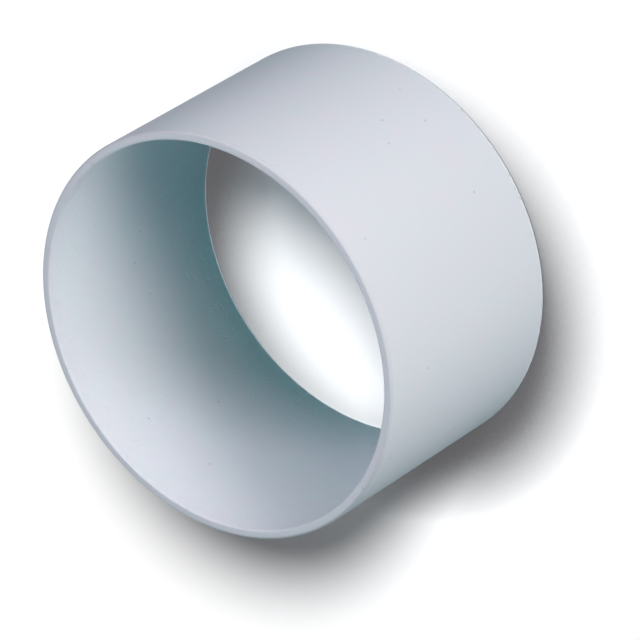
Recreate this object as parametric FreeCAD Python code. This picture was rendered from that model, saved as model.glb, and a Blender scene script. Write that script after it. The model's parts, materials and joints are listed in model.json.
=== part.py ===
import FreeCAD, Part
import os

# Round duct connector: one plain moulded sleeve, open from end to end, that joins two lengths of
# round duct. It stands on its lower end, with +Z along its axis and the origin at the middle of
# the lower end face. All sizes are in millimetres.

# Driving dimensions
duct_diameter = 100.0        # outside diameter of the round duct that is pushed in from each end
duct_clearance = 0.1         # gap left all round the duct, so that it slides in by hand
duct_insertion = 31.5        # how far each duct goes in before the two meet
wall_thickness = 2.4
rim_edge_radius = 0.7        # rounded outer edge at each end
mouth_edge_radius = 0.6      # rounded inner edge at each end, which leads the duct in
widest_edge_share = 0.45     # an edge radius takes at most this share of the wall

# Sizes that follow
bore_radius = duct_diameter / 2 + duct_clearance
outside_radius = bore_radius + wall_thickness
sleeve_length = 2 * duct_insertion
widest_edge_radius = widest_edge_share * wall_thickness


def edges_at(solid, radius):
    """The two end edges of a tube that have the given radius."""
    circles = [edge for edge in solid.Edges if isinstance(edge.Curve, Part.Circle)]
    return [circle for circle in circles if abs(circle.Curve.Radius - radius) < Part.Precision.confusion()]


def connector_sleeve():
    """A length of tube with its outer and inner end edges rounded over."""
    outside = Part.makeCylinder(outside_radius, sleeve_length)
    bore = Part.makeCylinder(bore_radius, sleeve_length)
    tube = outside.cut(bore)
    rimmed = tube.makeFillet(min(rim_edge_radius, widest_edge_radius), edges_at(tube, outside_radius))
    return rimmed.makeFillet(min(mouth_edge_radius, widest_edge_radius), edges_at(rimmed, bore_radius))


os.makedirs("parts", exist_ok=True)
connector_sleeve().exportStep("parts/connector_sleeve.step")
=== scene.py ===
import json
import math

import bmesh
import bpy
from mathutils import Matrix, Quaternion, Vector


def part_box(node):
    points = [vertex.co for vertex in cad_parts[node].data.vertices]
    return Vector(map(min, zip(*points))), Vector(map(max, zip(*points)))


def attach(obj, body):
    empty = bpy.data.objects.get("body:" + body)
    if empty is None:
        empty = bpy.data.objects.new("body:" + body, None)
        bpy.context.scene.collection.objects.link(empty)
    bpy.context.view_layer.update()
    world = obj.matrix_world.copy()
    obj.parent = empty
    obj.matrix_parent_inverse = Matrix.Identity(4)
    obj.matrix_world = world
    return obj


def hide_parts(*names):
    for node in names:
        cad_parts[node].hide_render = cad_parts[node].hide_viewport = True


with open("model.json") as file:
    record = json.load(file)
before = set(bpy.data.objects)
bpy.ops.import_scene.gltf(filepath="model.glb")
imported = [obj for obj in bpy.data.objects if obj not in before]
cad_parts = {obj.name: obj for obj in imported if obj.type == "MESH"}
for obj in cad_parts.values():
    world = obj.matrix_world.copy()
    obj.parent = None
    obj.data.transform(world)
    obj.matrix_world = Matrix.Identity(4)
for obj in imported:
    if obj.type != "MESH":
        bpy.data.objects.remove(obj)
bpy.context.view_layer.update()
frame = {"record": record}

# Sleeve
# The whole duct connector: one open tube of rigid PVC, injection moulded in one piece. Its core
# pulls out along the bore and leaves plain walls, flat end rings and small rounded mouth edges.
MM = 0.001                           # a millimetre in metres, the scene's unit
sleeve_low, sleeve_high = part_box("connector_sleeve")
bore = next(m for m in frame["record"]["mounts"] if m["name"] == "bore")["dims"]
sleeve_length = sleeve_high.z - sleeve_low.z
outside_radius = min(-sleeve_low.x, sleeve_high.x)
bore_radius = bore["r_mm"] * MM
mouth_edge_radius = (sleeve_length - bore["length_mm"] * MM) / 2
rim_edge_radius = 0.7 * MM
edge_facets = 7
turn_steps = 360
wall_rings = 8                       # even rings along the wall, which keep its faces well shaped
ring_beside_edge = 0.4 * MM          # a ring just past each rounded edge keeps the wall's shading even
on_ring = 0.01 * MM                  # how near a point is to a ring's radius or height to be on it
on_cut = 0.001 * MM                  # how near a point is to a cut to be on it


def rim_edges(mesh, radius):
    """The edges that run round the end faces at this radius."""
    found = []
    for edge in mesh.edges:
        level = abs(edge.verts[0].co.z - edge.verts[1].co.z) < on_ring
        on_circle = all(abs(vert.co.xy.length - radius) < on_ring for vert in edge.verts)
        if level and on_circle:
            found.append(edge)
    return found


mesh = bmesh.new()
wall_section = [
    mesh.verts.new((radius, 0, height))
    for radius, height in (
        (bore_radius, 0),
        (outside_radius, 0),
        (outside_radius, sleeve_length),
        (bore_radius, sleeve_length),
    )
]
section_edges = [mesh.edges.new((wall_section[i - 1], wall_section[i])) for i in range(4)]
bmesh.ops.spin(
    mesh, geom=wall_section + section_edges, cent=(0, 0, 0), axis=(0, 0, 1),
    angle=math.tau, steps=turn_steps, use_merge=True,
)
bmesh.ops.recalc_face_normals(mesh, faces=mesh.faces)
for ring_radius, edge_radius in ((outside_radius, rim_edge_radius), (bore_radius, mouth_edge_radius)):
    bmesh.ops.bevel(
        mesh, geom=rim_edges(mesh, ring_radius), offset=edge_radius, offset_type="OFFSET",
        affect="EDGES", segments=edge_facets, profile=0.5, material=-1,
    )
first_ring = rim_edge_radius + ring_beside_edge
ring_spacing = (sleeve_length - 2 * first_ring) / (wall_rings - 1)
for ring in range(wall_rings):
    bmesh.ops.bisect_plane(
        mesh, geom=mesh.verts[:] + mesh.edges[:] + mesh.faces[:],
        plane_co=(0, 0, first_ring + ring * ring_spacing), plane_no=(0, 0, 1), dist=on_cut,
    )
for face in mesh.faces:
    face.smooth = True
sleeve = bpy.data.objects.new("duct_sleeve", bpy.data.meshes.new("duct_sleeve"))
bpy.context.scene.collection.objects.link(sleeve)
mesh.to_mesh(sleeve.data)
mesh.free()


def linear(hex_colour):
    """An sRGB hex colour as linear red, green, blue and alpha."""
    channels = [int(hex_colour[i:i + 2], 16) / 255 for i in (1, 3, 5)]
    return [c / 12.92 if c <= 0.04045 else ((c + 0.055) / 1.055) ** 2.4 for c in channels] + [1]


def add_node(tree, kind, settings=None, links=None):
    """Adds a node. A setting is a socket's value or the node's own property; a link feeds a socket."""
    node = tree.nodes.new("ShaderNode" + kind)
    for name, value in (settings or {}).items():
        if hasattr(node, str(name)):
            setattr(node, name, value)
        else:
            node.inputs[name].default_value = value
    for name, source in (links or {}).items():
        tree.links.new(source, node.inputs[name])
    return node


# Moulded PVC: a cool grey-white plastic with a satin skin. It gives an even, almost matt shade with
# no sharp highlight, faint cloudiness from the melt, a few dark melt specks, a fine drawn grain and
# soft dents and scuffs in the bore. Its rounded outer edges carry a painted shade, a duller grey.
moulded_pvc = bpy.data.materials.new("moulded_pvc_cool_white")
moulded_pvc.use_nodes = True
pvc = moulded_pvc.node_tree
pvc.nodes.clear()
pvc_lilac_white = "#DEDAE3"
pvc_cyan_white = "#D1E1E2"
pvc_speck = "#BCC0C6"
# painted shade: a duller grey laid on the rounded outer edges, which tones down the light they catch
pvc_painted_edge_shade = "#CACFD3"
cloud_size = 8 * MM
speck_spacing = 7.5 * MM             # one speck shows for about every 20 mm of skin each way
speck_radius = 0.4 * MM              # the largest; most show smaller, cut by the skin
edge_shade_reach = 1.4 * rim_edge_radius
full_edge_shade = 0.4 * rim_edge_radius
grain_width = 0.35 * MM              # drawn coarser: the real spark-eroded grain is about 0.05 mm
grain_depth = 0.05 * MM
grain_strength = 0.4
scuff_size = 1.3 * MM                # small dents and scuffs, mostly in the bore
scuff_depth = 0.13 * MM
scuff_starts = 0.56                  # the level of noise at which a scuff begins, which leaves few
scuff_deepest = 0.74
draw_mark_width = 0.6 * MM           # the core's drag marks, which run along the bore
draw_mark_length = 25 * MM
draw_mark_depth = 0.06 * MM
satin_roughness = 0.7
matt_roughness = 0.78

place = add_node(pvc, "TexCoord").outputs["Object"]
cloud = add_node(
    pvc, "TexNoise", {"Scale": 1 / cloud_size, "Detail": 5.0, "Roughness": 0.7}, {"Vector": place}
)
ragged = add_node(pvc, "TexNoise", {"Scale": 1 / speck_radius, "Detail": 1.0}, {"Vector": place})
ragged_place = add_node(
    pvc, "VectorMath", {"operation": "MULTIPLY_ADD", 1: (speck_radius, speck_radius, speck_radius)},
    {0: ragged.outputs["Color"], 2: place},
)
specks = add_node(
    pvc, "TexVoronoi", {"Scale": 1 / speck_spacing}, {"Vector": ragged_place.outputs["Vector"]}
)
speck_mask = add_node(
    pvc, "MapRange",
    {
        "From Min": 0.5 * speck_radius / speck_spacing, "From Max": speck_radius / speck_spacing,
        "To Min": 1.0, "To Max": 0.0,
    },
    {"Value": specks.outputs["Distance"]},
)
cloudy_colour = add_node(
    pvc, "Mix", {"data_type": "RGBA", 6: linear(pvc_lilac_white), 7: linear(pvc_cyan_white)},
    {0: cloud.outputs["Fac"]},
)
specked_colour = add_node(
    pvc, "Mix", {"data_type": "RGBA", 7: linear(pvc_speck)},
    {0: speck_mask.outputs["Result"], 6: cloudy_colour.outputs[2]},
)

# Painted shade on the rounded outer edge: the skin near the outer corner of either end, in the
# section's own plane, is made a duller grey to tone down the light that edge catches.
flat_place = add_node(pvc, "VectorMath", {"operation": "MULTIPLY", 1: (1, 1, 0)}, {0: place})
from_axis = add_node(pvc, "VectorMath", {"operation": "LENGTH"}, {0: flat_place.outputs["Vector"]})
height = add_node(pvc, "SeparateXYZ", {}, {0: place}).outputs["Z"]
above_middle = add_node(pvc, "Math", {"operation": "SUBTRACT", 1: sleeve_length / 2}, {0: height})
from_middle = add_node(pvc, "Math", {"operation": "ABSOLUTE"}, {0: above_middle.outputs[0]})
section_place = add_node(
    pvc, "CombineXYZ", {}, {"X": from_axis.outputs["Value"], "Z": from_middle.outputs[0]}
)
from_corner = add_node(
    pvc, "VectorMath", {"operation": "DISTANCE", 1: (outside_radius, 0, sleeve_length / 2)},
    {0: section_place.outputs[0]},
)
painted_edge_shade_mask = add_node(
    pvc, "MapRange",
    {"From Min": full_edge_shade, "From Max": edge_shade_reach, "To Min": 1.0, "To Max": 0.0},
    {"Value": from_corner.outputs["Value"]},
)
edge_shaded_colour = add_node(
    pvc, "Mix", {"data_type": "RGBA", 7: linear(pvc_painted_edge_shade)},
    {0: painted_edge_shade_mask.outputs["Result"], 6: specked_colour.outputs[2]},
)

# The core leaves the bore rougher than the polished cavity leaves the outside.
bore_relief = 0.8
outside_relief = 0.04
relief = add_node(
    pvc, "MapRange",
    {
        "From Min": bore_radius, "From Max": outside_radius,
        "To Min": bore_relief, "To Max": outside_relief,
    },
    {"Value": from_axis.outputs["Value"]},
)
grain = add_node(pvc, "TexNoise", {"Scale": 1 / grain_width, "Detail": 1.0}, {"Vector": place})
scuff_noise = add_node(
    pvc, "TexNoise", {"Scale": 1 / scuff_size, "Detail": 2.0, "Distortion": 1.0}, {"Vector": place}
)
scuffs = add_node(
    pvc, "MapRange", {"From Min": scuff_starts, "From Max": scuff_deepest},
    {"Value": scuff_noise.outputs["Fac"]},
)
along_bore = add_node(
    pvc, "Mapping",
    {"Scale": (1 / draw_mark_width, 1 / draw_mark_width, 1 / draw_mark_length)}, {"Vector": place},
)
draw_marks = add_node(
    pvc, "TexNoise", {"Scale": 1.0, "Detail": 1.0}, {"Vector": along_bore.outputs["Vector"]}
)
roughness = add_node(
    pvc, "MapRange", {"To Min": satin_roughness, "To Max": matt_roughness},
    {"Value": cloud.outputs["Fac"]},
)
grain_bump = add_node(
    pvc, "Bump", {"Strength": grain_strength, "Distance": grain_depth}, {"Height": grain.outputs["Fac"]}
)
scuff_bump = add_node(
    pvc, "Bump", {"Distance": scuff_depth},
    {
        "Strength": relief.outputs["Result"], "Height": scuffs.outputs["Result"],
        "Normal": grain_bump.outputs["Normal"],
    },
)
draw_bump = add_node(
    pvc, "Bump", {"Distance": draw_mark_depth},
    {
        "Strength": relief.outputs["Result"], "Height": draw_marks.outputs["Fac"],
        "Normal": scuff_bump.outputs["Normal"],
    },
)
pvc_shader = add_node(
    pvc, "BsdfPrincipled", {"IOR": 1.5, "Specular IOR Level": 0.1},
    {
        "Base Color": edge_shaded_colour.outputs[2],
        "Roughness": roughness.outputs["Result"],
        "Normal": draw_bump.outputs["Normal"],
    },
)
add_node(pvc, "OutputMaterial", {}, {"Surface": pvc_shader.outputs["BSDF"]})
sleeve.data.materials.append(moulded_pvc)

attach(sleeve, "root")
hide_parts("connector_sleeve")

# Floor
# A plain white studio table. Camera and mirror rays see it white, with the sleeve's soft shadow from
# the table lamp, a painted contact shade and a faint painted glow that lifts the shadows; it throws
# only a dim teal light back up.
floor_half_width = 4.0
floor_white = "#FFFFFF"
# painted shade: the grey that the occlusion mask lays on the table close to the sleeve
floor_painted_contact_shade = "#272729"
# painted glow: the table top emits this faintly for camera and mirror rays, which lifts its shadows
floor_painted_glow = "#616163"
floor_bounce = "#005C5F"
contact_reach = 22 * MM              # how far from the sleeve its contact shade fades out
contact_samples = 24
contact_darkest = 0.476              # the share of open sky at which the contact shade is full
open_side_azimuth = 77.5
open_side_elevation = 40.5


def towards(azimuth, elevation):
    """The direction from the sleeve: azimuth 0 is the camera's side, 90 is +X."""
    turn, rise = math.radians(azimuth), math.radians(elevation)
    return Vector((math.sin(turn) * math.cos(rise), -math.cos(turn) * math.cos(rise), math.sin(rise)))


def seen_or_mirrored(tree):
    """1 for the camera's own rays and for what metal or glass would show, otherwise 0."""
    rays = add_node(tree, "LightPath").outputs
    mirrored = add_node(
        tree, "Math", {"operation": "MAXIMUM"}, {0: rays["Is Glossy Ray"], 1: rays["Is Transmission Ray"]}
    )
    both = add_node(
        tree, "Math", {"operation": "MAXIMUM"}, {0: rays["Is Camera Ray"], 1: mirrored.outputs[0]}
    )
    return both.outputs[0]


floor_mesh = bmesh.new()
bmesh.ops.create_grid(floor_mesh, x_segments=1, y_segments=1, size=floor_half_width)
floor = bpy.data.objects.new("floor", bpy.data.meshes.new("floor"))
bpy.context.scene.collection.objects.link(floor)
floor_mesh.to_mesh(floor.data)
floor_mesh.free()

# The contact shade is painted shade in the table's colour: an occlusion mask, dark where the sleeve
# hides, close by, a wide sky that leans to the +X side. So outside the sleeve it lies towards -X, and
# inside it lies along the wall at +X.
white_table = bpy.data.materials.new("white_table")
white_table.use_nodes = True
table = white_table.node_tree
table.nodes.clear()
open_side = towards(open_side_azimuth, open_side_elevation)
sky_direction = add_node(table, "CombineXYZ", {"X": open_side.x, "Y": open_side.y, "Z": open_side.z})
contact = add_node(
    table, "AmbientOcclusion", {"samples": contact_samples, "Distance": contact_reach},
    {"Normal": sky_direction.outputs[0]},
)
painted_shade_fade = add_node(
    table, "MapRange", {"From Min": contact_darkest}, {"Value": contact.outputs["AO"]}
)
table_top = add_node(
    table, "Mix", {"data_type": "RGBA", 6: linear(floor_painted_contact_shade), 7: linear(floor_white)},
    {0: painted_shade_fade.outputs["Result"]},
)
seen = seen_or_mirrored(table)
floor_colour = add_node(
    table, "Mix", {"data_type": "RGBA", 6: linear(floor_bounce)}, {0: seen, 7: table_top.outputs[2]}
)
floor_shader = add_node(table, "BsdfDiffuse", {}, {"Color": floor_colour.outputs[2]})
# Painted light: an even glow of the table top, seen by camera and mirror rays, that lightens its shadows.
painted_glow_shader = add_node(table, "Emission", {"Color": linear(floor_painted_glow)}, {"Strength": seen})
painted_glowing_table = add_node(
    table, "AddShader", {}, {0: floor_shader.outputs["BSDF"], 1: painted_glow_shader.outputs[0]}
)
add_node(table, "OutputMaterial", {}, {"Surface": painted_glowing_table.outputs[0]})
floor.data.materials.append(white_table)

# Lights
# Plain soft studio light: large round soft boxes, the stronger ones in front of the sleeve and the
# weaker ones behind it. Each lamp lights either the sleeve or the table, which stays white behind it.
only_sleeve = bpy.data.collections.new("lit_sleeve")
only_sleeve.objects.link(sleeve)
only_floor = bpy.data.collections.new("lit_floor")
only_floor.objects.link(floor)
sleeve_middle = Vector((0, 0, sleeve_length / 2))


def add_lamp(name, light, colour, direction, receivers):
    """Puts a light into the scene, shining from this direction on these objects only."""
    light.color = linear(colour)[:3]
    lamp = bpy.data.objects.new(name, light)
    bpy.context.scene.collection.objects.link(lamp)
    lamp.rotation_euler = direction.to_track_quat("Z", "Y").to_euler()
    lamp.light_linking.receiver_collection = receivers
    return lamp


def soft_box(name, azimuth, elevation, level, colour, size=0.5, distance=1.2):
    """A round soft box for the sleeve. At level 1 a white surface that faces it renders plain white."""
    light = bpy.data.lights.new(name, "AREA")
    light.shape = "DISK"
    light.size = size
    light.energy = level * math.pi ** 2 * distance ** 2
    direction = towards(azimuth, elevation)
    lamp = add_lamp(name, light, colour, direction, only_sleeve)
    lamp.location = sleeve_middle + direction * distance
    return lamp


def sun(name, azimuth, elevation, level, spread, colour, receivers):
    """A far lamp with parallel rays. At level 1 a white surface that faces it renders plain white."""
    light = bpy.data.lights.new(name, "SUN")
    light.energy = level * math.pi
    light.angle = math.radians(spread)
    return add_lamp(name, light, colour, towards(azimuth, elevation), receivers)


soft_box("key", azimuth=-15, elevation=15, level=0.65, colour="#FFF6F6")
soft_box("front_fill", azimuth=0, elevation=25, level=0.36, colour="#FFF3F7")
soft_box("side_light", azimuth=75, elevation=35, level=0.44, colour="#FBF3FF")
soft_box("cool_top_light", azimuth=-90, elevation=60, level=0.135, colour="#A0EBFF")
soft_box("back_light", azimuth=180, elevation=12, level=0.25, colour="#FFFFFF")
low_back_light = soft_box("low_back_light", azimuth=180, elevation=4, level=0.35, colour="#FFFFFF")
# The table's own light: a teal glow up through the open far end, and parallel rays that draw the
# fine light line on the far mouth's rounded edge.
table_glow = soft_box("table_glow", azimuth=0, elevation=-90, level=0.64, colour="#4FFFFD", size=0.3)
edge_light = sun(
    "edge_light", azimuth=0, elevation=-90, level=1.4, spread=2, colour="#FFC8CE",
    receivers=only_sleeve,
)
# These reach the sleeve from the level of the table or below it, so the table doesn't block them.
for lamp in (low_back_light, table_glow, edge_light):
    lamp.light_linking.blocker_collection = only_sleeve

# The table's glow is painted light, an even emission that lifts its shadows; the lamp makes up the rest.
table_lamp_height = 43.1
table_top_level = 0.885              # with the table's own glow this makes the open table just white
sun(
    "table_lamp", azimuth=15.5, elevation=table_lamp_height,
    level=table_top_level / math.sin(math.radians(table_lamp_height)),
    spread=13.5, colour="#FFFFFF", receivers=only_floor,
)

world = bpy.data.worlds.new("studio")
bpy.context.scene.world = world
world.use_nodes = True
studio = world.node_tree
studio.nodes.clear()
backdrop = add_node(
    studio, "Background", {"Color": linear("#FFFFFF")}, {"Strength": seen_or_mirrored(studio)}
)
add_node(studio, "OutputWorld", {}, {"Surface": backdrop.outputs[0]})

# Camera
# Long lens, looking down on the near end at about 45 degrees and rolled as in the photograph.
camera_elevation = 45.807
camera_distance = 1.4678
camera_roll = -121.545
camera_aim = Vector((-9.713, -1.450, 30.184)) * MM
camera_lens = bpy.data.cameras.new("camera")
camera_lens.lens = 340.06
camera_lens.sensor_width = 36
camera_lens.clip_start = 0.01
camera_lens.clip_end = 20
camera = bpy.data.objects.new("camera", camera_lens)
bpy.context.scene.collection.objects.link(camera)
camera.location = sleeve_middle + towards(0, camera_elevation) * camera_distance
view_line = camera_aim - camera.location
upright = view_line.to_track_quat("-Z", "Y")
camera.rotation_mode = "QUATERNION"
camera.rotation_quaternion = upright @ Quaternion((0, 0, 1), math.radians(camera_roll))
bpy.context.scene.camera = camera
bpy.context.scene.view_settings.view_transform = "Standard"
